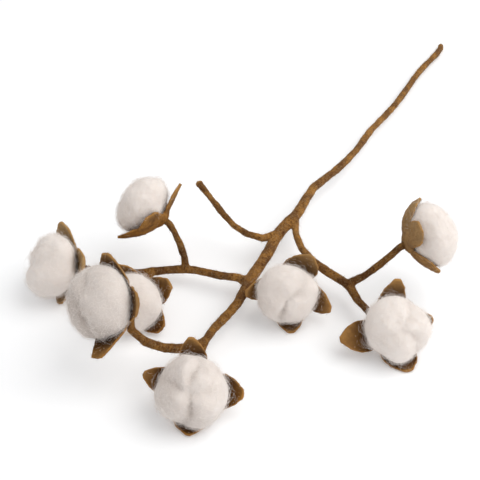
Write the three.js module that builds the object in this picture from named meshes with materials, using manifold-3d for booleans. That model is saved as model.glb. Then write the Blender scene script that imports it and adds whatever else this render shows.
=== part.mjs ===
// A bunch of cotton bolls on one branching stem, made of felted wool: a brown stem with side twigs, wires
// inside that hold the twigs up, and eight white bolls, each with a cross of four brown sepals behind it.
// Millimetres, +Z up, +Y along the main stem to its cut end. It lies on the plane z = 0.
import * as THREE from 'three';
import { mergeVertices } from 'three/addons/utils/BufferGeometryUtils.js';
import Module from 'manifold-3d';

const wasm = await Module();
wasm.setup();

// Sizes shared by all pieces
const GAP = 0.3;
const RING_STEP = 20;
const STEM_SIDES = 8;
const WIRE_SIDES = 5;
const WIRE_RADIUS = 1;
const WIRE_IN_BOLL = 12;
const WIRE_SHORT_OF_TIP = 6;
const DOME = 0.6;
const FLOOR_SIZE = 1000;

// Bolls: creases run from the face towards the back between four lobes
const BOLL_SEGMENTS = 20;
const BOLL_RINGS = 11;
const CREASE_DEPTH = 0.1;
const CREASE_START = 0.7;
const CREASE_FADES_FROM = 1;
const CREASE_END = 2;
const CREASE_FADE = 0.85;

// Sepals and the cup that joins them behind the boll
const SEPAL_THICKNESS = 2.6;
const SEPAL_EDGE_THINNING = 0.4;
const SEPAL_CLEARANCE = 0.5;
const SEPAL_HALF_WIDTH = 12.8;
const SEPAL_START = 5;
const SEPAL_START_HALF = 5.5;
const SEPAL_TIP_HALF = 2.2;
const SEPAL_WIDEST = 0.52;
const SEPAL_POINT = 0.6;
const SEPAL_TROUGH = 30;
const SEPAL_ACROSS = 4;
const SEPAL_ALONG = 5;
const SEPAL_LINE_STEPS = 200;
const CUP_RADIUS = 7.6;
const CUP_SEGMENTS = 8;
const CUP_IN_BOLL = 2;
const CUP_DEPTH = 2.6;
const CUP_FLOOR = 2.9;
const COLLAR_LENGTH = 4.7;
const COLLAR_WALL = 1.3;
const STALK_APPROACH = 7;
const STALK_RADIUS = 2.8;

// Blooms: centre of the boll; heading and tilt of the way it faces; its radius, and its depth as a share of
// its width; the turn of its first crease; sepals as turn round the axis, the angle at which each leaves the
// boll, its length and how far it curls on from there, then for some its half width, the half width of its
// tip and how far the tip sways round the axis. Angles in degrees.
const BLOOMS = {
  front: {
    centre: [27, -281.5, 25], heading: -65, tilt: 40, radius: 24.8, flat: 0.78, crease: 85,
    sepals: [
      [-3, 40, 38, 0, { half: 12, tip: 3 }], [86, 38, 40, 10, { half: 9.5, sway: 3 }],
      [166, 42, 38, 0, { half: 9.5, sway: -3 }], [266, 58, 36, 10, { half: 12 }],
    ],
  },
  right_low: {
    centre: [128, -168, 24.1], heading: -59, tilt: 45, radius: 24, flat: 0.78, crease: 60,
    sepals: [
      [14, 50, 33.5, 10, { half: 9 }], [95, 38, 41, 10, { half: 10, sway: -7 }],
      [185, 28, 42, 0, { half: 11.7 }], [272, 50, 35, 5, { tip: 3, sway: 5 }],
    ],
  },
  middle: {
    centre: [46, -168, 26], heading: -69, tilt: 26, radius: 23, flat: 0.78, crease: 65,
    sepals: [
      [-3, 40, 37, 0, { half: 10, sway: -8 }], [70, 38, 39, 10, { sway: -5 }],
      [170, 42, 35, 5, { half: 8.5, sway: 6 }], [271, 58, 35.5, 5, { half: 11, sway: 3 }],
    ],
  },
  left_low: {
    centre: [-54, -219, 21.6], heading: -72, tilt: 37, radius: 22, flat: 0.78, crease: 75,
    sepals: [
      [32, 40, 36, 0, { half: 11, tip: 4 }], [120, 42, 36, 0], [210, 42, 36, 0],
      [325, 52, 35, 0, { half: 10.5, tip: 4 }],
    ],
  },
  left_raised: {
    centre: [-49.5, -265.5, 60], heading: -120, tilt: 25, radius: 25.3, flat: 0.78, crease: 20,
    sepals: [
      [29, 32, 33, 0, { half: 12, tip: 8 }], [116, 45, 38, 0, { half: 14.5, tip: 4.5 }],
      [211, 50, 40, 0], [302, 52, 45, 0, { half: 14, tip: 6.5, sway: 2 }],
    ],
  },
  left_end: {
    centre: [-125.3, -211.1, 26.8], heading: -129, tilt: 24, radius: 23.8, flat: 0.74, crease: 40,
    sepals: [
      [38, 26, 33, -6, { tip: 6 }], [125, 30, 36, 4, { sway: 3 }], [215, 45, 38, 0],
      [303, 34, 30, 0, { tip: 4 }],
    ],
  },
  left_top: {
    centre: [-82.5, -147, 54], heading: 181, tilt: 27, radius: 22.5, flat: 0.76, crease: 10,
    sepals: [
      [14, 30, 25.5, 0, { half: 10, tip: 6 }], [135, 12, 30, 0, { half: 8 }], [225, 42, 32, 0],
      [318, 42, 38, 20],
    ],
  },
  right_top: {
    centre: [126, -92.5, 55], heading: 41, tilt: 16, radius: 24, flat: 0.72, crease: 35,
    sepals: [
      [50, 68, 38, 26], [121, 26, 30, 0, { half: 9.5, tip: 4.5 }], [230, 44, 32, 10, { tip: 4 }],
      [310, 45, 36, 20],
    ],
  },
};

// Stem and twigs: centre line points with the radius there. A twig that carries a bloom goes on to its cup.
const MAIN_STEM = {
  bloom: 'front',
  points: [
    [22, 304, 2.4, 2.6], [24, 296, 3.2, 3], [24.5, 281, 4.6, 3.4], [22.5, 258, 5.4, 3], [20.5, 231, 6, 3],
    [21, 152, 9, 3.2], [17, 92, 12, 3.2], [17.5, 55, 13.5, 3.2], [13.5, 12, 15.5, 3.4], [7, -21, 17, 3.7],
    [10, -62, 19, 4.5], [7, -92, 19, 4.8], [9, -118, 18, 4.6], [9.5, -152, 17, 4.3], [12, -180, 16, 3.5],
    [8, -226, 15, 3.1], [15, -251, 11, 3.1],
  ],
};
const SIDE_TWIGS = {
  bare: {
    points: [
      [8, -93, 19, 3.8], [-1, -106, 20, 3], [-12, -111, 24, 2.7], [-24, -111, 29, 2.6], [-43, -103, 38, 2.5],
      [-62, -94, 47, 3],
    ],
  },
  left: {
    bloom: 'left_end',
    points: [
      [9, -157, 17, 4.6], [0, -152.5, 15, 3.4], [-14, -154.5, 14, 3.1], [-30, -155, 13, 3.1],
      [-42, -157.5, 13, 3.6], [-56, -165.5, 13, 3.2], [-68, -176, 14, 3.2], [-82, -185, 15, 2.8],
      [-95, -191, 17, 2.8],
    ],
  },
  left_top: {
    bloom: 'left_top',
    points: [[-41, -158, 13, 3.8], [-43.5, -156, 23, 2.8], [-47.5, -154.5, 33, 2.7], [-54, -151, 40, 2.7]],
  },
  left_low: {
    bloom: 'left_low',
    points: [[-62, -170, 14, 3.4], [-66, -183, 12, 2.9], [-62, -195, 9, 2.8]],
  },
  right: {
    bloom: 'right_low',
    points: [
      [9, -66, 19, 4], [20, -90, 20, 2.8], [31, -105, 20, 2.8], [43, -115.5, 20, 3.4], [60, -123, 19, 3.5],
      [78.5, -129, 18, 3.8], [90, -140, 15, 3], [106, -146, 9, 2.9],
    ],
  },
  right_top: {
    bloom: 'right_top',
    points: [[77, -129, 18, 3.8], [88.5, -124.5, 27, 2.9], [97.5, -118, 36, 2.8]],
  },
  middle: {
    bloom: 'middle',
    points: [[45, -116, 20, 3.8], [44, -128, 19, 3.2]],
  },
  left_raised: {
    bloom: 'left_raised',
    points: [
      [9, -226, 15.5, 3.8], [4, -239.5, 18, 3.5], [-7.5, -253.5, 26, 3.4], [-18, -261, 34, 3.3],
      [-28, -261.5, 41.5, 3.2],
    ],
  },
};

const FELT_BROWN = new THREE.MeshStandardMaterial({ name: 'brown_felt', color: 0x7d5727, roughness: 0.96 });
const WOOL_WHITE = new THREE.MeshStandardMaterial({ name: 'white_wool', color: 0xe9e2da, roughness: 1 });
const STEEL = new THREE.MeshStandardMaterial({
  name: 'steel_wire', color: 0x8d8f90, roughness: 0.45, metalness: 1,
});

const radians = THREE.MathUtils.degToRad;
const { lerp, smoothstep } = THREE.MathUtils;

// Solids: a closed geometry as a manifold, faces out, and back again
function signedVolume(geometry) {
  const { position } = geometry.attributes;
  const [a, b, c] = [new THREE.Vector3(), new THREE.Vector3(), new THREE.Vector3()];
  let volume = 0;
  for (let i = 0; i < geometry.index.count; i += 3) {
    a.fromBufferAttribute(position, geometry.index.getX(i));
    b.fromBufferAttribute(position, geometry.index.getX(i + 1));
    c.fromBufferAttribute(position, geometry.index.getX(i + 2));
    volume += a.dot(b.cross(c)) / 6;
  }
  return volume;
}

function solid(geometry) {
  const bare = geometry.clone();
  bare.deleteAttribute('normal');
  bare.deleteAttribute('uv');
  const merged = mergeVertices(bare);
  const corners = Array.from(merged.index.array);
  if (signedVolume(merged) < 0) corners.reverse();
  return new wasm.Manifold(new wasm.Mesh({
    numProp: 3,
    vertProperties: Float32Array.from(merged.attributes.position.array),
    triVerts: Uint32Array.from(corners),
  }));
}

function geometryOf(manifold) {
  const { vertProperties, triVerts } = manifold.getMesh();
  const geometry = new THREE.BufferGeometry();
  geometry.setAttribute('position', new THREE.BufferAttribute(vertProperties, 3));
  geometry.setIndex(new THREE.BufferAttribute(triVerts, 1));
  geometry.computeVertexNormals();
  return geometry;
}

function reshape(geometry, place) {
  const { position } = geometry.attributes;
  const point = new THREE.Vector3();
  for (let i = 0; i < position.count; i += 1) {
    place(point.fromBufferAttribute(position, i));
    position.setXYZ(i, point.x, point.y, point.z);
  }
  return geometry;
}

// Blooms: a frame of their own, with the boll's centre at the origin and its face along +Z
function bloomMatrix({ centre, heading, tilt }) {
  const level = Math.cos(radians(tilt));
  const axis = new THREE.Vector3(level * Math.cos(radians(heading)), level * Math.sin(radians(heading)),
    Math.sin(radians(tilt)));
  const across = new THREE.Vector3(0, 0, 1).cross(axis).normalize();
  const up = new THREE.Vector3().crossVectors(axis, across);
  return new THREE.Matrix4().makeBasis(across, up, axis).setPosition(...centre);
}

function behindBoll(name, distance) {
  const { radius, flat } = BLOOMS[name];
  return new THREE.Vector3(0, 0, -radius * flat - distance).applyMatrix4(bloomMatrix(BLOOMS[name]));
}

// How deep the creases are at a direction: a dimple at the face's centre that opens into four creases
function creaseAt(fromFace, turn) {
  const across = Math.abs(Math.sin(2 * turn));
  const line = (1 - across) ** 2;
  const reach = 1 - CREASE_FADE * smoothstep(fromFace, CREASE_FADES_FROM, CREASE_END);
  return CREASE_DEPTH * reach * lerp(1, line, smoothstep(fromFace, 0, CREASE_START));
}

function bollGeometry({ radius, flat, crease }, grow = 0) {
  const ball = new THREE.SphereGeometry(1, BOLL_SEGMENTS, BOLL_RINGS).rotateX(Math.PI / 2);
  reshape(ball, (p) => {
    const depth = creaseAt(Math.acos(THREE.MathUtils.clamp(p.z, -1, 1)), Math.atan2(p.y, p.x));
    p.set(p.x * (radius * (1 - depth) + grow), p.y * (radius * (1 - depth) + grow),
      p.z * (radius * flat * (1 - depth) + grow));
  });
  return ball.rotateZ(radians(crease));
}

// A sepal's middle line in its own plane (out from the axis, and along it): round the boll, then on its own
function sepalLine([, leave, length, curl], { radius, flat }) {
  const out = radius + SEPAL_CLEARANCE + SEPAL_THICKNESS / 2;
  const deep = radius * flat + SEPAL_CLEARANCE + SEPAL_THICKNESS / 2;
  const step = length / SEPAL_LINE_STEPS;
  const line = [];
  let at = new THREE.Vector2(0, -deep);
  let angle = 0;
  let heading = 0;
  let leftAt = length;
  for (let i = 0; i <= SEPAL_LINE_STEPS; i += 1) {
    line.push({ at: at.clone(), heading });
    if (angle < radians(leave)) {
      angle += step / Math.hypot(out * Math.cos(angle), deep * Math.sin(angle));
      heading = Math.atan2(deep * Math.sin(angle), out * Math.cos(angle));
      leftAt = i * step;
    } else {
      heading += (radians(curl) * step) / (length - leftAt);
    }
    at.add(new THREE.Vector2(Math.cos(heading), Math.sin(heading)).multiplyScalar(step));
  }
  return line;
}

function halfWidthAt(share, half, tip) {
  if (share < SEPAL_WIDEST) {
    return lerp(SEPAL_START_HALF, half, Math.sin((Math.PI / 2) * (share / SEPAL_WIDEST)));
  }
  const beyond = (share - SEPAL_WIDEST) / (1 - SEPAL_WIDEST);
  return Math.max(half * Math.cos((Math.PI / 2) * beyond) ** SEPAL_POINT, tip);
}

function sepalGeometry(sepal, bloom) {
  const [turn, , length, , { half = SEPAL_HALF_WIDTH, tip = SEPAL_TIP_HALF, sway = 0 } = {}] = sepal;
  const line = sepalLine(sepal, bloom);
  const blade = new THREE.BoxGeometry(2, 1, 1, SEPAL_ACROSS, SEPAL_ALONG, 1).translate(0, 0.5, 0);
  reshape(blade, (p) => {
    const share = lerp(SEPAL_START / length, 1, p.y);
    const { at, heading } = line[Math.round(share * (line.length - 1))];
    const side = p.x * halfWidthAt(p.y, half, tip) + sway * p.y * p.y;
    const thickness = SEPAL_THICKNESS * (1 - SEPAL_EDGE_THINNING * p.x * p.x);
    const lift = (side * side) / (2 * SEPAL_TROUGH) + p.z * thickness;
    p.set(at.x - Math.sin(heading) * lift, side, at.y + Math.cos(heading) * lift);
  });
  return blade.rotateZ(radians(turn));
}

// The cup behind the boll, with the collar that the stalk sits in
function cupGeometry({ radius, flat }) {
  const back = -radius * flat;
  const profile = [
    [0, back + CUP_IN_BOLL], [CUP_RADIUS, back + CUP_IN_BOLL], [CUP_RADIUS, back - CUP_DEPTH],
    [STALK_RADIUS + GAP + COLLAR_WALL, back - COLLAR_LENGTH], [0, back - COLLAR_LENGTH],
  ];
  const points = profile.map(([out, along]) => new THREE.Vector2(out, along));
  return new THREE.LatheGeometry(points, CUP_SEGMENTS).rotateX(Math.PI / 2);
}

// Tubes: a closed tapered tube along a twig's centre line, with a ring at each of its points and more between
function ringsAlong(points, radius, grow) {
  const route = points.map(([x, y, z]) => new THREE.Vector3(x, y, z));
  const curve = new THREE.CatmullRomCurve3(route, false, 'centripetal');
  const last = points.length - 1;
  const rings = [];
  const addRing = (before, share) => {
    const place = (before + share) / last;
    const tangent = curve.getTangent(place);
    const above = rings.at(-1)?.normal ?? new THREE.Vector3(0, 0, 1);
    const normal = above.clone().projectOnPlane(tangent).normalize();
    const binormal = new THREE.Vector3().crossVectors(tangent, normal);
    const size = (radius ?? lerp(points[before][3], points[Math.min(before + 1, last)][3], share)) + grow;
    rings.push({ centre: curve.getPoint(place), tangent, normal, binormal, size });
  };
  for (let i = 0; i < last; i += 1) {
    const count = Math.max(1, Math.ceil(route[i].distanceTo(route[i + 1]) / RING_STEP - 0.1));
    for (let k = 0; k < count; k += 1) addRing(i, k / count);
  }
  addRing(last, 0);
  return rings;
}

function tubeGeometry(points, sides, { radius, grow = 0, domes = [0, 0] } = {}) {
  const rings = ringsAlong(points, radius, grow);
  const profile = rings.map((ring, i) => new THREE.Vector2(1, i));
  profile.unshift(new THREE.Vector2(0, 0));
  profile.push(new THREE.Vector2(0, rings.length - 1));
  return reshape(new THREE.LatheGeometry(profile, sides), (p) => {
    const { x, z } = p;
    const i = Math.round(p.y);
    const { centre, tangent, normal, binormal, size } = rings[i];
    const onAxis = Math.hypot(x, z) < 0.5;
    const push = onAxis ? size * (i === 0 ? -domes[0] : domes[1]) : 0;
    p.copy(centre).addScaledVector(normal, x * size).addScaledVector(binormal, z * size);
    p.addScaledVector(tangent, push);
  });
}

function onToCup({ bloom, points }, end) {
  if (!bloom) return points;
  const pointAt = (distance) => [...behindBoll(bloom, distance).toArray(), STALK_RADIUS];
  return [...points, pointAt(STALK_APPROACH), pointAt(end)];
}

function twigSolid(twig, grow = 0) {
  const end = CUP_FLOOR + GAP - grow;
  const domes = twig === MAIN_STEM ? [DOME, 0] : [0, twig.bloom ? 0 : DOME];
  return solid(tubeGeometry(onToCup(twig, end), STEM_SIDES, { grow, domes }));
}

// The wire in a twig: short of its free end, or on into the boll
function wireSolid(twig, grow = 0) {
  const points = onToCup(twig, -WIRE_IN_BOLL - grow);
  const shorten = (tip, before) => {
    const [a, b] = [new THREE.Vector3(...tip.slice(0, 3)), new THREE.Vector3(...before.slice(0, 3))];
    return [...a.lerp(b, (WIRE_SHORT_OF_TIP - grow) / a.distanceTo(b)).toArray(), tip[3]];
  };
  const route = [...points];
  if (twig === MAIN_STEM) route[0] = shorten(points[0], points[1]);
  if (!twig.bloom) route[route.length - 1] = shorten(points.at(-1), points.at(-2));
  return solid(tubeGeometry(route, WIRE_SIDES, { radius: WIRE_RADIUS, grow }));
}

const joined = (solids) => solids.reduce((whole, next) => whole.add(next));

const twigs = [MAIN_STEM, ...Object.values(SIDE_TWIGS)];
const wire = joined(twigs.map((twig) => wireSolid(twig)));
const wireRoom = joined(twigs.map((twig) => wireSolid(twig, GAP)));
const block = new THREE.BoxGeometry(FLOOR_SIZE, FLOOR_SIZE, FLOOR_SIZE);
const floor = solid(block.translate(0, 0, -FLOOR_SIZE / 2));
const stem = joined(twigs.map((twig) => twigSolid(twig))).subtract(wireRoom).subtract(floor);
const stalkRoom = joined(twigs.filter(({ bloom }) => bloom).map((twig) => twigSolid(twig, GAP)));

const bunch = new THREE.Group();

function addMesh(parent, name, geometry, material) {
  const mesh = new THREE.Mesh(geometry, material);
  mesh.name = name;
  parent.add(mesh);
}

function inBloom(manifold, matrix) {
  return solid(geometryOf(manifold).applyMatrix4(matrix.clone().invert()));
}

addMesh(bunch, 'stem', geometryOf(stem), FELT_BROWN);
addMesh(bunch, 'wire_armature', geometryOf(wire), STEEL);
for (const [name, bloom] of Object.entries(BLOOMS)) {
  const matrix = bloomMatrix(bloom);
  const [room, stalk, ground] = [wireRoom, stalkRoom, floor].map((cutter) => inBloom(cutter, matrix));
  const boll = solid(bollGeometry(bloom)).subtract(room);
  const blades = bloom.sepals.map((sepal) => solid(sepalGeometry(sepal, bloom)));
  const calyx = joined([solid(cupGeometry(bloom)), ...blades])
    .subtract(solid(bollGeometry(bloom, GAP))).subtract(stalk).subtract(room).subtract(ground);
  const group = new THREE.Group();
  group.applyMatrix4(matrix);
  addMesh(group, `boll_${name}`, geometryOf(boll), WOOL_WHITE);
  addMesh(group, `calyx_${name}`, geometryOf(calyx), FELT_BROWN);
  bunch.add(group);
}

// The origin is the middle of the whole bunch's box, on the plane that it lies on
const box = new THREE.Box3().setFromObject(bunch, true);
const middle = box.getCenter(new THREE.Vector3());
bunch.position.set(-middle.x, -middle.y, -box.min.z);

const whole = new THREE.Group();
whole.add(bunch);

export default whole;
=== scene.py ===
"""Looks for a bunch of felted-wool cotton bolls on a branching brown stem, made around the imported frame."""
import math

import bmesh
import bpy
import numpy as np
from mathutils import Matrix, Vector, noise
from mathutils.bvhtree import BVHTree


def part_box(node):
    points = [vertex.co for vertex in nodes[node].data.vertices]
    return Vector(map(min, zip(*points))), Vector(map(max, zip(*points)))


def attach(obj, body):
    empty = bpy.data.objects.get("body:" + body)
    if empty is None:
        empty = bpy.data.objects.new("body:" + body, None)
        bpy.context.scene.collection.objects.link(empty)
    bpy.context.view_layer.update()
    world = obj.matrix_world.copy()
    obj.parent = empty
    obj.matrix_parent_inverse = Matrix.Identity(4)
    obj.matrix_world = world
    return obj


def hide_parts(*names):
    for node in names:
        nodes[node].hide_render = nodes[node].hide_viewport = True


MM = 0.001
TINY = 1e-9

# Camera: the photograph's place and angle
CAMERA_PLACE = (262 * MM, -712.9 * MM, 516 * MM)
CAMERA_AZIMUTH = 25
CAMERA_ELEVATION = 37
CAMERA_LENS = 80
CAMERA_SENSOR = 36
CAMERA_NEAR = 10 * MM

# Floor and light
FLOOR_SIZE = 100
FLOOR_GLOW = 0.2
SKY_STRENGTH = 0.645
KEY_PLACE = (1.0, 0.2, 1.5)
KEY_SIZE = 2.2
KEY_POWER = 25.5
KEY_COLOUR = (1, 0.985, 0.96)

# Blooms. Directions on a boll are degrees counted up from its own right, seen from its face.
# valleys: for each valley between its lobes, its direction, its depth and the depth of the crease along it.
# deep: how far its wool goes towards the deeper tone all over, and how much further painted shade takes it
# on its lower left side, away from the key lamp.
# dark and pale: how dark the painted shade on its sepals is where they face it, and how pale they are all over.
# pressed: where its surface is pressed in, as a direction, degrees from the face and millimetres, which are
# less than 0 where it bulges out.
BLOOMS = {
    "front": {
        "valleys": ((86, 1, 0.7), (155, 1.25, 0.1), (270, 1.15, 1.1), (0, 0.45, 0)), "deep": (0.18, 0.3),
        "dark": 0.9, "pale": 0, "pressed": ((50, 90, 1.5), (220, 90, 1)),
    },
    "right_low": {
        "valleys": ((90, 0.8, 0.3), (258, 0.7, 0), (350, 0.8, 0.4)), "deep": (0, 0),
        "dark": 0.9, "pale": 0.15, "pressed": ((74, 90, 1.5), (254, 90, 2.2), (344, 90, 1.5)),
    },
    "middle": {
        "valleys": ((72, 0.85, 0.5), (180, 0.2, 0), (292, 0.95, 1.1), (0, 0.2, 0)), "deep": (0, 0.05),
        "dark": 0.8, "pale": 0.3, "pressed": ((255, 90, 3), (335, 90, 2.5)),
    },
    "left_low": {
        "valleys": ((90, 0.3, 0), (180, 0.25, 0), (270, 0.5, 0), (0, 0.2, 0)), "deep": (0, 0),
        "dark": 0.7, "pale": 0, "pressed": (),
    },
    "left_raised": {
        "valleys": ((80, 0.7, 0.5), (180, 0.25, 0), (295, 1.1, 1.3)), "deep": (0.42, 0.5),
        "dark": 0.85, "pale": 0.15, "pressed": (),
    },
    "left_end": {
        "valleys": ((90, 0.4, 0), (180, 0.9, 0.5), (270, 0.4, 0), (0, 0.6, 0)), "deep": (0.05, 0.05),
        "dark": 0.2, "pale": 0.85, "pressed": ((280, 38, -5), (95, 45, 2), (180, 70, 1.5)),
    },
    "left_top": {
        "valleys": ((90, 0.3, 0), (180, 0.3, 0), (270, 0.4, 0), (0, 0.2, 0)), "deep": (0, 0),
        "dark": 0.8, "pale": 0, "pressed": (),
    },
    "right_top": {
        "valleys": ((90, 0.4, 0), (180, 0.3, 0), (270, 0.4, 0), (0, 0.3, 0)), "deep": (0, 0),
        "dark": 0.4, "pale": 0.4, "pressed": (),
    },
}

# Random draws: the stem's seeds, a bloom's first seed, which its pieces count on from, and how far each seed
# shifts the noise along each axis
STEM_SEED = 11
STEM_FUZZ_SEED = 21
FIRST_BLOOM_SEED = 100
SEEDS_PER_BLOOM = 10
NOISE_SHIFT = (7.31, 3.17, 5.53)

# Darker stretches of the stem: the two blooms that each lies between, and how dark it is. It sets in
# DARK_FROM away from the middle between them, and is full within DARK_WITHIN of it.
DARK_STRETCHES = (
    ("right_top", "right_low", 0.45),
    ("left_top", "left_low", 0.35),
    ("front", "middle", 0.3),
)
DARK_FROM = 80 * MM
DARK_WITHIN = 45 * MM

# Refined shapes: the size of their faces, how many rounds they are smoothed for, and how strongly in each
STEM_VOXEL = 0.8 * MM
STEM_ROUNDS = 6
CALYX_VOXEL = 0.75 * MM
CALYX_ROUNDS = 5
BOLL_VOXEL = 1.1 * MM
BOLL_ROUNDS = 6
SMOOTHING = 0.5

# Distances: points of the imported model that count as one, its faces along the wires, and fibres off the floor
WELD = 0.002 * MM
BORE_REACH = 0.5 * MM
FLOOR_CLEARANCE = 0.15 * MM

# A packed boll: how many lobes it has, and the percentile of its points' distances that counts as its size
LOBES = 4
OUTER_PERCENTILE = 99

# Valleys between lobes. Their depth is a share of the boll's radius, and angles are in radians. From the face
# a valley is open at the angle VALLEY_OPEN, and between the next two angles it loses the share VALLEY_FADE.
# Its line wanders from side to side, and a dimple joins the valleys at the face.
VALLEY_DEPTH = 0.115
VALLEY_WIDTH = 0.42
VALLEY_OPEN = 0.6
VALLEY_FADES_FROM = 1.1
VALLEY_END = 2
VALLEY_FADE = 0.7
VALLEY_WANDER = 0.55
VALLEY_WANDER_SIZE = 24 * MM
DIMPLE = 0.7
PRESSED_WIDTH = 0.55

# Creases along the valleys: their depth in millimetres, their width, how far from their line they may reach
# in radians, and how strong they are, part of it even and part of it broken up by noise
CREASE_DEPTH = 0.65
CREASE_WIDTH = 2.1 * MM
CREASE_TURN = 1.5
CREASE_EVEN = 0.8
CREASE_BROKEN = 0.7
CREASE_BREAK_SIZE = 9 * MM

# Lumps in wool: their height in millimetres and their size
LARGE_LUMPS = (2.0, 21 * MM)
SMALL_LUMPS = (0.9, 9 * MM)
FINE_LUMPS = (0.2, 3.2 * MM)

# Painted shade in wool: in creases and valleys, and on the side away from UPPER_RIGHT, the way to the key lamp,
# where it rises between two cosines of the angle from the opposite way
CREASE_SHADE = 0.5
VALLEY_SHADE = 0.2
UPPER_RIGHT = (0.5, 0.2, 0.84)
LOWER_LEFT_FROM = -0.55
LOWER_LEFT_FULL = 0.2

# Lumps in felt: their height in millimetres, their two sizes, the share of the smaller ones, and tufts
STEM_LUMP = 0.45
SEPAL_LUMP = 0.3
FELT_LARGE = 14 * MM
FELT_SMALL = 6 * MM
FELT_SMALL_SHARE = 0.7
TUFT_LUMPS = (0.22, 2.4 * MM)

# Tones of felt. High felt is darker. A sepal has painted shade within SHADE_REACH of its boll where it faces
# it, painted light above the middle of its calyx, painted shade below that, a golden painted highlight at its
# tips, and fewer flecks all over. Where the surface bends by more than RIM_START times RIM_BEND, it gets a
# golden painted highlight too, by RIM_MOST at most.
RAISED_FROM = 18 * MM
RAISED_FULL = 35 * MM
RAISED_DARKENING = 0.2
SHADE_REACH = 12 * MM
SHADE_FADE = 0.8
FACING_GAIN = 1.3
UPPER_RISE = 18 * MM
UPPER_PAINTED_LIGHT = 0.3
LOWER_SHADE = 0.2
TIP_FROM = 5 * MM
TIP_HIGHLIGHT = 0.3
SEPAL_EVEN = 0.6
RIM_BEND = 0.065 * MM
RIM_START = 0.7
RIM_MOST = 0.6
STEM_PALE = 0.15

# Fibres all over a piece: how many, their length, how high they rise, how far they swing aside as a share of
# their length, how many points each has and its width. Their arch is a share of a half wave.
STEM_FUZZ = {
    "count": 12000, "length": 2.6 * MM, "lift": 1 * MM, "curl": 0.5, "points": 4, "width": 0.08 * MM,
}
SEPAL_FUZZ = {
    "count": 2200, "length": 2.4 * MM, "lift": 0.8 * MM, "curl": 0.5, "points": 4, "width": 0.08 * MM,
}
FLUFF = {
    "count": 4600, "length": 4.2 * MM, "lift": 2.2 * MM, "curl": 0.9, "points": 4, "width": 0.09 * MM,
}
WISPS = {
    "count": 600, "length": 7 * MM, "lift": 4 * MM, "curl": 1.1, "points": 7, "width": 0.09 * MM,
}
LENGTH_SPREAD = (0.4, 1.3)
LIFT_SPREAD = (0.1, 1.0)
SWING_LIMIT = 1.3
ARCH = 0.8
ROOT_DEPTH = 0.05 * MM

# White wool on the sepals: how many strands, how closely they keep to the boll, how many points each has and
# how far apart, how strongly they head away from the boll, and their width. They wander as they go, and lie
# up to CREEP_LIFT off the felt.
LINT = {"count": 380, "closeness": 2, "points": 3, "step": 0.35 * MM, "pull": 0.2, "width": 0.32 * MM}
STRAY = {"count": 90, "closeness": 1, "points": 12, "step": 0.5 * MM, "pull": 1, "width": 0.11 * MM}
PULL_SCALE = 30 * MM
FIRST_WANDER = 0.8
WANDER = 0.5
CREEP_LIFT = 0.7 * MM
CREEP_LIFT_SPREAD = (0.2, 1.0)

# Ribbons: the part of a half wave that their width follows, the power it is raised to, and how widths vary
TAPER = (0.12, 0.92)
TAPER_POWER = 0.6
WIDTH_SPREAD = (0.6, 1.3)

# Noise in the materials: scale and detail, and the band of it over which a tone turns into the next
NOISE_ROUGHNESS = 0.65
FELT_PATCHES = (90, 3)
FELT_PATCH_BAND = (0.38, 0.62)
FELT_FLECKS = (420, 4)
FELT_FLECK_BAND = (0.46, 0.68)
FELT_FLECK_DISTORTION = 1.6
WOOL_PATCHES = (60, 4)
WOOL_PATCH_BAND = (0.2, 0.8)
WOOL_STRANDS = (500, 6)
STEEL_POLISH = (400, 3)
STEEL_POLISH_BAND = (-0.4, 2.2)

# Bumps in the materials: strength and distance
FELT_BUMP = (0.6, 0.4 * MM)
WOOL_BUMP = (0.25, 0.5 * MM)

# Sockets of the colour mix node: its factor, its two colours and its result
MIX_FACTOR = 0
MIX_COLOURS = (6, 7)
MIX_RESULT = 2

# Colours
WHITE = (1, 1, 1, 1)
FELT_GOLD = (0.345, 0.155, 0.03, 1)
FELT_BROWN = (0.115, 0.04, 0.009, 1)
FELT_FLECK = (0.065, 0.023, 0.007, 1)
FELT_DARK = (0.038, 0.012, 0.004, 1)
FELT_RIM = (0.45, 0.235, 0.07, 1)
FELT_PALE_AND_LIT = (0.42, 0.285, 0.145, 1)
FELT_DOWN = (0.38, 0.27, 0.14, 1)
FELT_FIBRE = (0.22, 0.1, 0.028, 1)
FELT_SHEEN = (1, 0.7, 0.4, 1)
WOOL_WHITE = (0.81, 0.748, 0.705, 1)
WOOL_PALE = (0.835, 0.778, 0.738, 1)
WOOL_DEEP = (0.50, 0.44, 0.40, 1)
WOOL_FIBRE = (0.845, 0.785, 0.745, 1)
WOOL_LINT = (0.80, 0.62, 0.49, 1)
WOOL_SHEEN = (1, 0.98, 0.96, 1)
STEEL_GREY = (0.42, 0.43, 0.44, 1)
FLOOR_GREY = (0.832, 0.842, 0.858, 1)

# Finishes, by the names of the surface shader's inputs
BASE_FINISH = {"Specular IOR Level": 0.15, "Sheen Roughness": 0.5, "Sheen Tint": WHITE}
FELT_FINISH = BASE_FINISH | {
    "Roughness": 0.95, "Specular IOR Level": 0.04, "Sheen Weight": 0.04, "Sheen Tint": FELT_SHEEN,
}
WOOL_FINISH = BASE_FINISH | {
    "Roughness": 1, "Sheen Weight": 0.2, "Sheen Tint": WOOL_SHEEN, "Subsurface Weight": 0.35,
    "Subsurface Radius": (1, 0.9, 0.8), "Subsurface Scale": 2.5 * MM,
}
FELT_FIBRE_FINISH = BASE_FINISH | {"Roughness": 1, "Sheen Weight": 0.1}
FIBRE_FINISH = BASE_FINISH | {"Roughness": 1, "Sheen Weight": 0.3}
STEEL_FINISH = BASE_FINISH | {"Base Color": STEEL_GREY, "Metallic": 1, "Roughness": 0.4, "Sheen Weight": 0}
FLOOR_FINISH = BASE_FINISH | {
    "Base Color": FLOOR_GREY, "Roughness": 0.9, "Sheen Weight": 0, "Emission Color": WHITE,
    "Emission Strength": FLOOR_GLOW,
}


# Meshes
def new_object(name, data):
    made = bpy.data.objects.new(name, data)
    bpy.context.scene.collection.objects.link(made)
    return made


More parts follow.
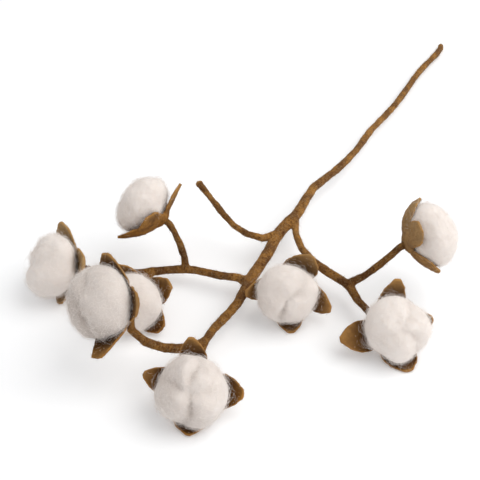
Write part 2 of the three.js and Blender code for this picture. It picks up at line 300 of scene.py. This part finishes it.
def read_vectors(mesh, name):
    flat = np.empty(len(mesh.vertices) * 3, dtype=np.float32)
    mesh.vertices.foreach_get(name, flat)
    return flat.reshape(-1, 3).astype(float)


def points_of(mesh):
    return read_vectors(mesh, "co")


def normals_of(mesh):
    return read_vectors(mesh, "normal")


def move_points(mesh, points):
    mesh.vertices.foreach_set("co", points.astype(np.float32).ravel())
    mesh.update()


def paint(mesh, name, values):
    layer = mesh.attributes.new(name, "FLOAT", "POINT")
    layer.data.foreach_set("value", np.asarray(values, dtype=np.float32))


def painted(mesh, name):
    values = np.empty(len(mesh.vertices), dtype=np.float32)
    mesh.attributes[name].data.foreach_get("value", values)
    return values


def noise_at(points, size, seed):
    """Smooth noise from -1 to 1 at each point, with lumps of about that size."""
    offset = Vector([seed * shift for shift in NOISE_SHIFT])
    return np.array([noise.noise(Vector(p) / size + offset) for p in points])


def lumps_at(points, lumps, seed):
    height, size = lumps
    return height * noise_at(points, size, seed)


def smoothstep(value, low, high):
    share = np.clip((value - low) / (high - low), 0, 1)
    return share * share * (3 - 2 * share)


def unit(vectors):
    """The vectors along the last axis at length 1, or left short where they have almost none."""
    return vectors / np.maximum(np.linalg.norm(vectors, axis=-1, keepdims=True), TINY)


def tree_of(mesh):
    bm = bmesh.new()
    bm.from_mesh(mesh)
    tree = BVHTree.FromBMesh(bm)
    bm.free()
    return tree


def outer_skin(node, wire_tree):
    """A copy of a CAD node's mesh without the bore that the wire runs in."""
    bm = bmesh.new()
    bm.from_mesh(node.data)
    bmesh.ops.remove_doubles(bm, verts=bm.verts, dist=WELD)
    bore = [f for f in bm.faces if wire_tree.find_nearest(f.calc_center_median(), BORE_REACH)[0] is not None]
    bmesh.ops.delete(bm, geom=bore, context="FACES")
    bmesh.ops.holes_fill(bm, edges=[e for e in bm.edges if e.is_boundary], sides=0)
    bmesh.ops.recalc_face_normals(bm, faces=bm.faces)
    mesh = bpy.data.meshes.new(node.name + "_skin")
    bm.to_mesh(mesh)
    bm.free()
    return mesh


def refined(name, mesh, voxel, rounds):
    """The mesh rebuilt from small even faces and smoothed."""
    rough = new_object(name + "_rough", mesh)
    remesh = rough.modifiers.new("remesh", "REMESH")
    remesh.mode = "VOXEL"
    remesh.voxel_size = voxel
    smooth = rough.modifiers.new("smooth", "SMOOTH")
    smooth.factor = SMOOTHING
    smooth.iterations = rounds
    fine = bpy.data.meshes.new_from_object(rough.evaluated_get(bpy.context.evaluated_depsgraph_get()))
    fine.name = name
    bpy.data.objects.remove(rough)
    fine.materials.clear()
    fine.shade_smooth()
    return fine


def neighbour_mean(mesh, values):
    """Each point's mean of a value over the points that it shares an edge with."""
    ends = np.empty(len(mesh.edges) * 2, dtype=np.int32)
    mesh.edges.foreach_get("vertices", ends)
    first, second = ends.reshape(-1, 2).T
    total = np.zeros_like(values)
    np.add.at(total, first, values[second])
    np.add.at(total, second, values[first])
    degree = np.bincount(ends, minlength=len(values)).astype(float)
    return total / (degree[:, None] if values.ndim == 2 else degree)


# Fibres: thin curved ribbons that taper towards both ends
def ribbons(name, paths, width, seed):
    """One mesh of ribbons along paths, an array of strands x points x 3."""
    rng = np.random.default_rng(seed)
    count, steps, _ = paths.shape
    along = unit(np.gradient(paths, axis=1))
    side = unit(np.cross(along, rng.normal(size=(count, 1, 3))))
    taper = np.sin(np.pi * np.linspace(*TAPER, steps)) ** TAPER_POWER
    half = side * (width / 2) * taper[None, :, None] * rng.uniform(*WIDTH_SPREAD, (count, 1, 1))
    points = np.stack([paths - half, paths + half], axis=2).reshape(-1, 3)
    start = np.arange(count)[:, None] * steps * 2 + np.arange(steps - 1)[None, :] * 2
    quads = np.stack([start, start + 1, start + 3, start + 2], axis=2).reshape(-1, 4)
    mesh = bpy.data.meshes.new(name)
    mesh.vertices.add(len(points))
    mesh.vertices.foreach_set("co", points.astype(np.float32).ravel())
    mesh.loops.add(quads.size)
    mesh.loops.foreach_set("vertex_index", quads.astype(np.int32).ravel())
    mesh.polygons.add(len(quads))
    mesh.polygons.foreach_set("loop_start", np.arange(0, quads.size, 4, dtype=np.int32))
    mesh.update(calc_edges=True)
    return mesh


def off_floor(paths):
    """The paths lifted to where they clear the plane that the bunch lies on."""
    paths[..., 2] = np.maximum(paths[..., 2], FLOOR_CLEARANCE)
    return paths


def fuzz_paths(mesh, kind, seed):
    """Short strands rooted all over a mesh, leaning over its surface."""
    rng = np.random.default_rng(seed)
    count = kind["count"]
    points, normals = points_of(mesh), normals_of(mesh)
    picked = rng.choice(len(points), count)
    root, up = points[picked], normals[picked]
    lean = unit(np.cross(up, rng.normal(size=(count, 3))))
    across = np.cross(up, lean)
    size = kind["length"] * rng.uniform(*LENGTH_SPREAD, (count, 1))
    rise = kind["lift"] * rng.uniform(*LIFT_SPREAD, (count, 1)) ** 2
    swing = kind["curl"] * np.clip(rng.normal(size=(count, 1)), -SWING_LIMIT, SWING_LIMIT)
    strands = []
    for share in np.linspace(0, 1, kind["points"]):
        height = rise * math.sin(math.pi * ARCH * share) - ROOT_DEPTH
        strands.append(root + lean * size * share + across * size * swing * share * share + up * height)
    return off_floor(np.stack(strands, axis=1))


def creeping_paths(tree, roots, headings, kind, seed):
    """Strands that wander over a surface from roots on it, each with a heading to start from."""
    rng = np.random.default_rng(seed)
    paths = []
    for root, toward in zip(roots, headings):
        at = Vector(root)
        heading = Vector(toward) + Vector(rng.normal(size=3) * FIRST_WANDER)
        heading.normalize()
        path = []
        for _ in range(kind["points"]):
            place, up, _, _ = tree.find_nearest(at)
            path.append(place + up * float(rng.uniform(*CREEP_LIFT_SPREAD) * CREEP_LIFT))
            heading = heading + Vector(rng.normal(size=3) * WANDER)
            heading = heading - up * heading.dot(up)
            heading.normalize()
            at = place + heading * kind["step"]
        paths.append(path)
    return off_floor(np.array(paths))


# Materials
def material(name, finish):
    """A material and its surface shader, with the shader's inputs set."""
    made = bpy.data.materials.new(name)
    made.use_nodes = True
    shader = made.node_tree.nodes["Principled BSDF"]
    for key, value in finish.items():
        shader.inputs[key].default_value = value
    return made, shader


def add_node(tree, kind, **inputs):
    node = tree.nodes.new(kind)
    for key, value in inputs.items():
        node.inputs[key.replace("_", " ")].default_value = value
    return node


def noise_node(tree, coordinates, scale_and_detail):
    scale, detail = scale_and_detail
    made = add_node(tree, "ShaderNodeTexNoise", Scale=scale, Detail=detail, Roughness=NOISE_ROUGHNESS)
    tree.links.new(coordinates.outputs["Object"], made.inputs["Vector"])
    return made


def ramp(tree, source, band):
    """A value from 0 to 1 over a band of the source's noise."""
    made = add_node(tree, "ShaderNodeMapRange", From_Min=band[0], From_Max=band[1])
    tree.links.new(source.outputs["Fac"], made.inputs["Value"])
    return made.outputs["Result"]


def mix(tree, factor, first, second):
    """A colour that goes from the first to the second, each one a fixed colour or another node's output."""
    made = tree.nodes.new("ShaderNodeMix")
    made.data_type = "RGBA"
    tree.links.new(factor, made.inputs[MIX_FACTOR])
    for socket, value in zip(MIX_COLOURS, (first, second)):
        if isinstance(value, tuple):
            made.inputs[socket].default_value = value
        else:
            tree.links.new(value, made.inputs[socket])
    return made.outputs[MIX_RESULT]


def attribute(tree, name):
    made = tree.nodes.new("ShaderNodeAttribute")
    made.attribute_name = name
    return made.outputs["Fac"]


def add_bump(tree, shader, source, strength_and_distance):
    strength, distance = strength_and_distance
    bump = add_node(tree, "ShaderNodeBump", Strength=strength, Distance=distance)
    tree.links.new(source.outputs["Fac"], bump.inputs["Height"])
    tree.links.new(bump.outputs["Normal"], shader.inputs["Normal"])


def felt_material():
    """Brown felt: gold and brown patches under dark flecks. Painted values make it paler by its own tone and by
    painted light, less flecked, darker by painted shade and on darker stretches, and golden with painted
    highlights."""
    made, shader = material("brown_felt", FELT_FINISH)
    tree = made.node_tree
    coordinates = tree.nodes.new("ShaderNodeTexCoord")
    patches = noise_node(tree, coordinates, FELT_PATCHES)
    flecks = noise_node(tree, coordinates, FELT_FLECKS)
    flecks.inputs["Distortion"].default_value = FELT_FLECK_DISTORTION
    base = mix(tree, ramp(tree, patches, FELT_PATCH_BAND), FELT_BROWN, FELT_GOLD)
    # Paler by the felt's own tone, and by painted light on the upper sepals
    base = mix(tree, attribute(tree, "pale"), base, FELT_PALE_AND_LIT)
    flecked = mix(tree, ramp(tree, flecks, FELT_FLECK_BAND), base, FELT_FLECK)
    flecked = mix(tree, attribute(tree, "even"), flecked, base)
    # Painted shade where sepals face their bolls and below the middle of a calyx, and darker high felt and
    # stretches
    shaded = mix(tree, attribute(tree, "shade"), flecked, FELT_DARK)
    # Golden painted highlights along rims and at the tips of sepals
    rim_highlight = mix(tree, attribute(tree, "rim"), shaded, FELT_RIM)
    tree.links.new(rim_highlight, shader.inputs["Base Color"])
    add_bump(tree, shader, flecks, FELT_BUMP)
    return made


def wool_material():
    """White wool: warm and even, and deeper where it is painted so, by a deeper tone and by painted shade."""
    made, shader = material("white_wool", WOOL_FINISH)
    tree = made.node_tree
    coordinates = tree.nodes.new("ShaderNodeTexCoord")
    patches = noise_node(tree, coordinates, WOOL_PATCHES)
    strands = noise_node(tree, coordinates, WOOL_STRANDS)
    tint = mix(tree, ramp(tree, patches, WOOL_PATCH_BAND), WOOL_WHITE, WOOL_PALE)
    # Deeper tone and painted shade, as painted into the shade attribute
    deep = mix(tree, attribute(tree, "shade"), tint, WOOL_DEEP)
    tree.links.new(deep, shader.inputs["Base Color"])
    add_bump(tree, shader, strands, WOOL_BUMP)
    return made


def steel_material():
    """Drawn steel wire whose polish is a little uneven."""
    made, shader = material("drawn_steel", STEEL_FINISH)
    tree = made.node_tree
    polish = noise_node(tree, tree.nodes.new("ShaderNodeTexCoord"), STEEL_POLISH)
    tree.links.new(ramp(tree, polish, STEEL_POLISH_BAND), shader.inputs["Roughness"])
    return made


def fibre_material(name, colour, finish):
    made, shader = material(name, finish)
    shader.inputs["Base Color"].default_value = colour
    return made


# Shapes
def boll_axes(points, behind):
    """A boll's middle and its own axes as rows: right and up along its valleys, and the way that it faces."""
    middle = (points.min(axis=0) + points.max(axis=0)) / 2
    _, _, ways = np.linalg.svd(points - points.mean(axis=0), full_matrices=False)
    facing = ways[2] * math.copysign(1, float(ways[2] @ (middle - behind)))
    level = np.cross([0, 0, 1], facing)
    level /= np.linalg.norm(level)
    over = np.cross(facing, level)
    out = points - middle
    x, y = out @ level, out @ over
    ahead = out @ facing > 0
    reach = np.hypot(x, y)[ahead]
    pull = np.sum((reach - reach.mean()) * np.exp(1j * LOBES * np.arctan2(y, x)[ahead]))
    turn = (np.angle(pull) + math.pi) / LOBES
    between = 2 * math.pi / LOBES
    turn -= round(turn / between) * between
    right = level * math.cos(turn) + over * math.sin(turn)
    return middle, np.stack([right, np.cross(facing, right), facing])


def way_towards(direction, off_face):
    """A way on a boll's own axes, from degrees round it and degrees from its face."""
    turned, tipped = math.radians(direction), math.radians(off_face)
    return math.cos(turned) * math.sin(tipped), math.sin(turned) * math.sin(tipped), math.cos(tipped)


def furrows(points, way, radius, valleys, seed):
    """How deep the valleys, the creases and the dimple that joins them at the face are at each point."""
    from_face = np.arccos(np.clip(way[:, 2], -1, 1))
    wander = VALLEY_WANDER * noise_at(points, VALLEY_WANDER_SIZE, seed)
    turn = np.arctan2(way[:, 1], way[:, 0]) + wander
    reach = 1 - VALLEY_FADE * smoothstep(from_face, VALLEY_FADES_FROM, VALLEY_END)
    open_out = smoothstep(from_face, 0, VALLEY_OPEN)
    valley, crease = np.zeros(len(points)), np.zeros(len(points))
    for direction, strength, sharp in valleys:
        off_line = np.abs(np.angle(np.exp(1j * (turn - math.radians(direction)))))
        across = radius * np.sin(from_face) * off_line
        line = np.exp(-(off_line / VALLEY_WIDTH) ** 2) * open_out
        valley = np.maximum(valley, strength * reach * line)
        sharp_line = np.exp(-(across / CREASE_WIDTH) ** 2) * (off_line < CREASE_TURN)
        crease = np.maximum(crease, sharp * reach * sharp_line)
    dimple = max(strength for _, strength, _ in valleys) * (1 - open_out)
    crease *= CREASE_EVEN + CREASE_BROKEN * noise_at(points, CREASE_BREAK_SIZE, seed + 3)
    return valley, crease, dimple


def shape_boll(mesh, behind, style, seed):
    """Soft lobes between valleys, some of them creased, with lumps of wool, its deeper tone and painted shade.
    """
    points = points_of(mesh)
    middle, axes = boll_axes(points, behind)
    local = (points - middle) @ axes.T
    radius = np.percentile(np.hypot(local[:, 0], local[:, 1]), OUTER_PERCENTILE)
    depth = np.percentile(np.abs(local[:, 2]), OUTER_PERCENTILE)
    way = local / np.linalg.norm(local, axis=1, keepdims=True)
    plain = 1 / np.sqrt((way[:, 0] ** 2 + way[:, 1] ** 2) / radius ** 2 + way[:, 2] ** 2 / depth ** 2)
    valley, crease, dimple = furrows(points, way, radius, style["valleys"], seed)
    lumps = lumps_at(points, LARGE_LUMPS, seed + 1) + lumps_at(points, SMALL_LUMPS, seed + 2)
    fine = lumps_at(points, FINE_LUMPS, seed + 4)
    for direction, off_face, inward in style["pressed"]:
        off_spot = np.arccos(np.clip(way @ way_towards(direction, off_face), -1, 1))
        lumps -= inward * np.exp(-(off_spot / PRESSED_WIDTH) ** 2)
    sink = VALLEY_DEPTH * radius * np.maximum(valley, DIMPLE * dimple)
    size = plain - sink + (lumps + fine - CREASE_DEPTH * crease) * MM
    move_points(mesh, middle + (way * size[:, None]) @ axes)
    # Painted shade: darker on the side turned away from the key lamp, in the valleys and along the creases
    lower_left = smoothstep(-way @ axes @ np.array(UPPER_RIGHT), LOWER_LEFT_FROM, LOWER_LEFT_FULL)
    tone_and_shade = style["deep"][0] + style["deep"][1] * lower_left
    paint(mesh, "shade", np.clip(tone_and_shade + CREASE_SHADE * crease + VALLEY_SHADE * valley, 0, 1))


def face_boll(points, normals, boll_tree, dark, shade):
    """Paints shade on the points near a boll, by how they face it and how near they are. Returns every point's
    gap to it, which is SHADE_REACH at most."""
    gaps = np.full(len(points), SHADE_REACH)
    for i, (point, normal) in enumerate(zip(points, normals)):
        place, _, _, gap = boll_tree.find_nearest(Vector(point), SHADE_REACH)
        if place is not None:
            gaps[i] = gap
            inward = max(0.0, float((np.array(place) - point) @ normal) / max(gap, TINY))
            shade[i] = dark * min(1.0, FACING_GAIN * inward) * (1 - gap / SHADE_REACH) ** SHADE_FADE
    return gaps


def shape_felt(mesh, seed, lump, boll_tree=None, dark=0, pale=0):
    """Lumps and small tufts in felt, its tones and painted highlights along its rims. A calyx also gets painted
    shade where it faces its boll and below its middle, painted light above that and painted highlights at its
    tips.
    """
    points, normals = points_of(mesh), normals_of(mesh)
    bend = -np.sum((neighbour_mean(mesh, points) - points) * normals, axis=1)
    rim = neighbour_mean(mesh, neighbour_mean(mesh, bend))
    small = FELT_SMALL_SHARE * noise_at(points, FELT_SMALL, seed + 2)
    lumps = lump * (noise_at(points, FELT_LARGE, seed) + small)
    move = (lumps + lumps_at(points, TUFT_LUMPS, seed + 1)) * MM
    shade = RAISED_DARKENING * smoothstep(points[:, 2], RAISED_FROM, RAISED_FULL)
    paleness_and_light = np.full(len(points), float(pale))
    # Painted highlight along rims, where the felt bends sharply
    rim_highlight = np.clip(rim / RIM_BEND - RIM_START, 0, RIM_MOST)
    if boll_tree:
        # Painted shade where the sepals face their boll
        gaps = face_boll(points, normals, boll_tree, dark, shade)
        rise = (points[:, 2] - points[:, 2].mean()) / UPPER_RISE
        # Painted shade below the middle of the calyx, and painted light above it
        shade -= LOWER_SHADE * np.minimum(rise, 0)
        paleness_and_light += UPPER_PAINTED_LIGHT * np.clip(rise, 0, 1)
        # Painted highlight at the tips, away from the boll
        rim_highlight = np.maximum(rim_highlight, TIP_HIGHLIGHT * smoothstep(gaps, TIP_FROM, SHADE_REACH))
        paint(mesh, "even", np.full(len(points), SEPAL_EVEN))
    move_points(mesh, points + normals * move[:, None])
    paint(mesh, "shade", np.clip(shade, 0, 1))
    paint(mesh, "pale", np.clip(paleness_and_light, 0, 1))
    paint(mesh, "rim", rim_highlight)


def darken_stem(mesh):
    """Deeper felt on the darker stretches of the stem."""
    points = points_of(mesh)
    shade = painted(mesh, "shade")
    for first, second, strength in DARK_STRETCHES:
        corners = np.array([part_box("boll_" + first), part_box("boll_" + second)]).reshape(-1, 3)
        away = np.linalg.norm(points - corners.mean(axis=0), axis=1)
        shade = np.maximum(shade, strength * smoothstep(-away, -DARK_FROM, -DARK_WITHIN))
    mesh.attributes["shade"].data.foreach_set("value", shade.astype(np.float32))


# Pieces
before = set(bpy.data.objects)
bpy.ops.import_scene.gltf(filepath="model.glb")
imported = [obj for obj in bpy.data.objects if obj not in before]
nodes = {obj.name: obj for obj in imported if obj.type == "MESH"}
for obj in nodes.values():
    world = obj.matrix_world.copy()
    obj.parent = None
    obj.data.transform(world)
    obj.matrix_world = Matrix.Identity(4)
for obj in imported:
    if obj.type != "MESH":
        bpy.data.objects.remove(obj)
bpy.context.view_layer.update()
wire = nodes["wire_armature"]
wire_tree = tree_of(wire.data)
felt = felt_material()
wool = wool_material()
wool_fibre = fibre_material("wool_fibre", WOOL_FIBRE, FIBRE_FINISH)
wool_lint = fibre_material("wool_lint", WOOL_LINT, FIBRE_FINISH)
felt_fibre = fibre_material("felt_fibre", FELT_FIBRE, FELT_FIBRE_FINISH)
felt_down = fibre_material("felt_down", FELT_DOWN, FIBRE_FINISH)


def add_piece(name, mesh, look, node=None):
    mesh.materials.clear()
    mesh.materials.append(look)
    piece = new_object(name, mesh)
    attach(piece, "root")
    if node:
        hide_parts(node)


def add_fuzz(name, mesh, kind, look, seeds):
    """Fibres all over a mesh, with one seed for their paths and one for their ribbons."""
    paths = fuzz_paths(mesh, kind, seeds[0])
    add_piece(name, ribbons(name, paths, kind["width"], seeds[1]), look)


def finish_wire():
    wire.data.materials.clear()
    wire.data.materials.append(steel_material())


def add_stem():
    mesh = refined("stem_felt", outer_skin(nodes["stem"], wire_tree), STEM_VOXEL, STEM_ROUNDS)
    shape_felt(mesh, STEM_SEED, STEM_LUMP, pale=STEM_PALE)
    darken_stem(mesh)
    add_piece("stem_felt", mesh, felt, "stem")
    seeds = (STEM_FUZZ_SEED, STEM_FUZZ_SEED + 1)
    add_fuzz("stem_fuzz", mesh, STEM_FUZZ, felt_down, seeds)


def add_lint(bloom, calyx_mesh, boll_mesh, seed):
    """White wool that has come off the boll on to its sepals: short specks and a few long hairs."""
    spots, shade = points_of(calyx_mesh), painted(calyx_mesh, "shade")
    near = (shade / shade.max()).astype(float)
    tree, heart = tree_of(calyx_mesh), points_of(boll_mesh).mean(axis=0)
    rng = np.random.default_rng(seed + 8)
    for name, kind in (("lint_" + bloom, LINT), ("stray_" + bloom, STRAY)):
        weight = near ** kind["closeness"]
        roots = spots[rng.choice(len(spots), kind["count"], p=weight / weight.sum())]
        outward = kind["pull"] * (roots - heart) / PULL_SCALE
        paths = creeping_paths(tree, roots, outward, kind, seed + kind["points"])
        add_piece(name, ribbons(name, paths, kind["width"], seed + 9), wool_lint)


def add_bloom(bloom, style, seed):
    boll_skin = outer_skin(nodes["boll_" + bloom], wire_tree)
    boll_mesh = refined("wool_" + bloom, boll_skin, BOLL_VOXEL, BOLL_ROUNDS)
    calyx_skin = outer_skin(nodes["calyx_" + bloom], wire_tree)
    calyx_mesh = refined("sepals_" + bloom, calyx_skin, CALYX_VOXEL, CALYX_ROUNDS)
    shape_boll(boll_mesh, points_of(calyx_mesh).mean(axis=0), style, seed)
    shape_felt(calyx_mesh, seed + 3, SEPAL_LUMP, tree_of(boll_mesh), style["dark"], style["pale"])
    add_piece("wool_" + bloom, boll_mesh, wool, "boll_" + bloom)
    add_piece("sepals_" + bloom, calyx_mesh, felt, "calyx_" + bloom)
    add_fuzz("fluff_" + bloom, boll_mesh, FLUFF, wool_fibre, (seed + 4, seed + 5))
    add_fuzz("wisps_" + bloom, boll_mesh, WISPS, wool_fibre, (seed + 5, seed + 5))
    add_fuzz("fuzz_" + bloom, calyx_mesh, SEPAL_FUZZ, felt_fibre, (seed + 6, seed + 7))
    add_lint(bloom, calyx_mesh, boll_mesh, seed)


# Floor, light and camera
def add_floor():
    bpy.ops.mesh.primitive_plane_add(size=FLOOR_SIZE)
    floor = bpy.context.object
    floor.name = "floor"
    look, _ = material("pale_floor", FLOOR_FINISH)
    floor.data.materials.append(look)


def add_light():
    """An even white sky and one large soft lamp."""
    world = bpy.data.worlds.new("studio")
    bpy.context.scene.world = world
    world.use_nodes = True
    background = world.node_tree.nodes["Background"]
    background.inputs["Color"].default_value = WHITE
    background.inputs["Strength"].default_value = SKY_STRENGTH
    key = bpy.data.lights.new("key", "AREA")
    key.shape = "DISK"
    key.size = KEY_SIZE
    key.energy = KEY_POWER
    key.color = KEY_COLOUR
    lamp = new_object("key", key)
    lamp.location = KEY_PLACE
    lamp.rotation_euler = (-lamp.location).to_track_quat("-Z", "Y").to_euler()


def add_camera():
    camera = bpy.data.cameras.new("camera")
    camera.lens = CAMERA_LENS
    camera.sensor_width = CAMERA_SENSOR
    camera.clip_start = CAMERA_NEAR
    view = new_object("camera", camera)
    view.location = CAMERA_PLACE
    view.rotation_euler = (math.radians(90 - CAMERA_ELEVATION), 0, math.radians(CAMERA_AZIMUTH))
    bpy.context.scene.camera = view
    bpy.context.scene.view_settings.view_transform = "Standard"


finish_wire()
add_stem()
for number, (bloom, style) in enumerate(BLOOMS.items()):
    add_bloom(bloom, style, FIRST_BLOOM_SEED + SEEDS_PER_BLOOM * number)
add_floor()
add_light()
add_camera()
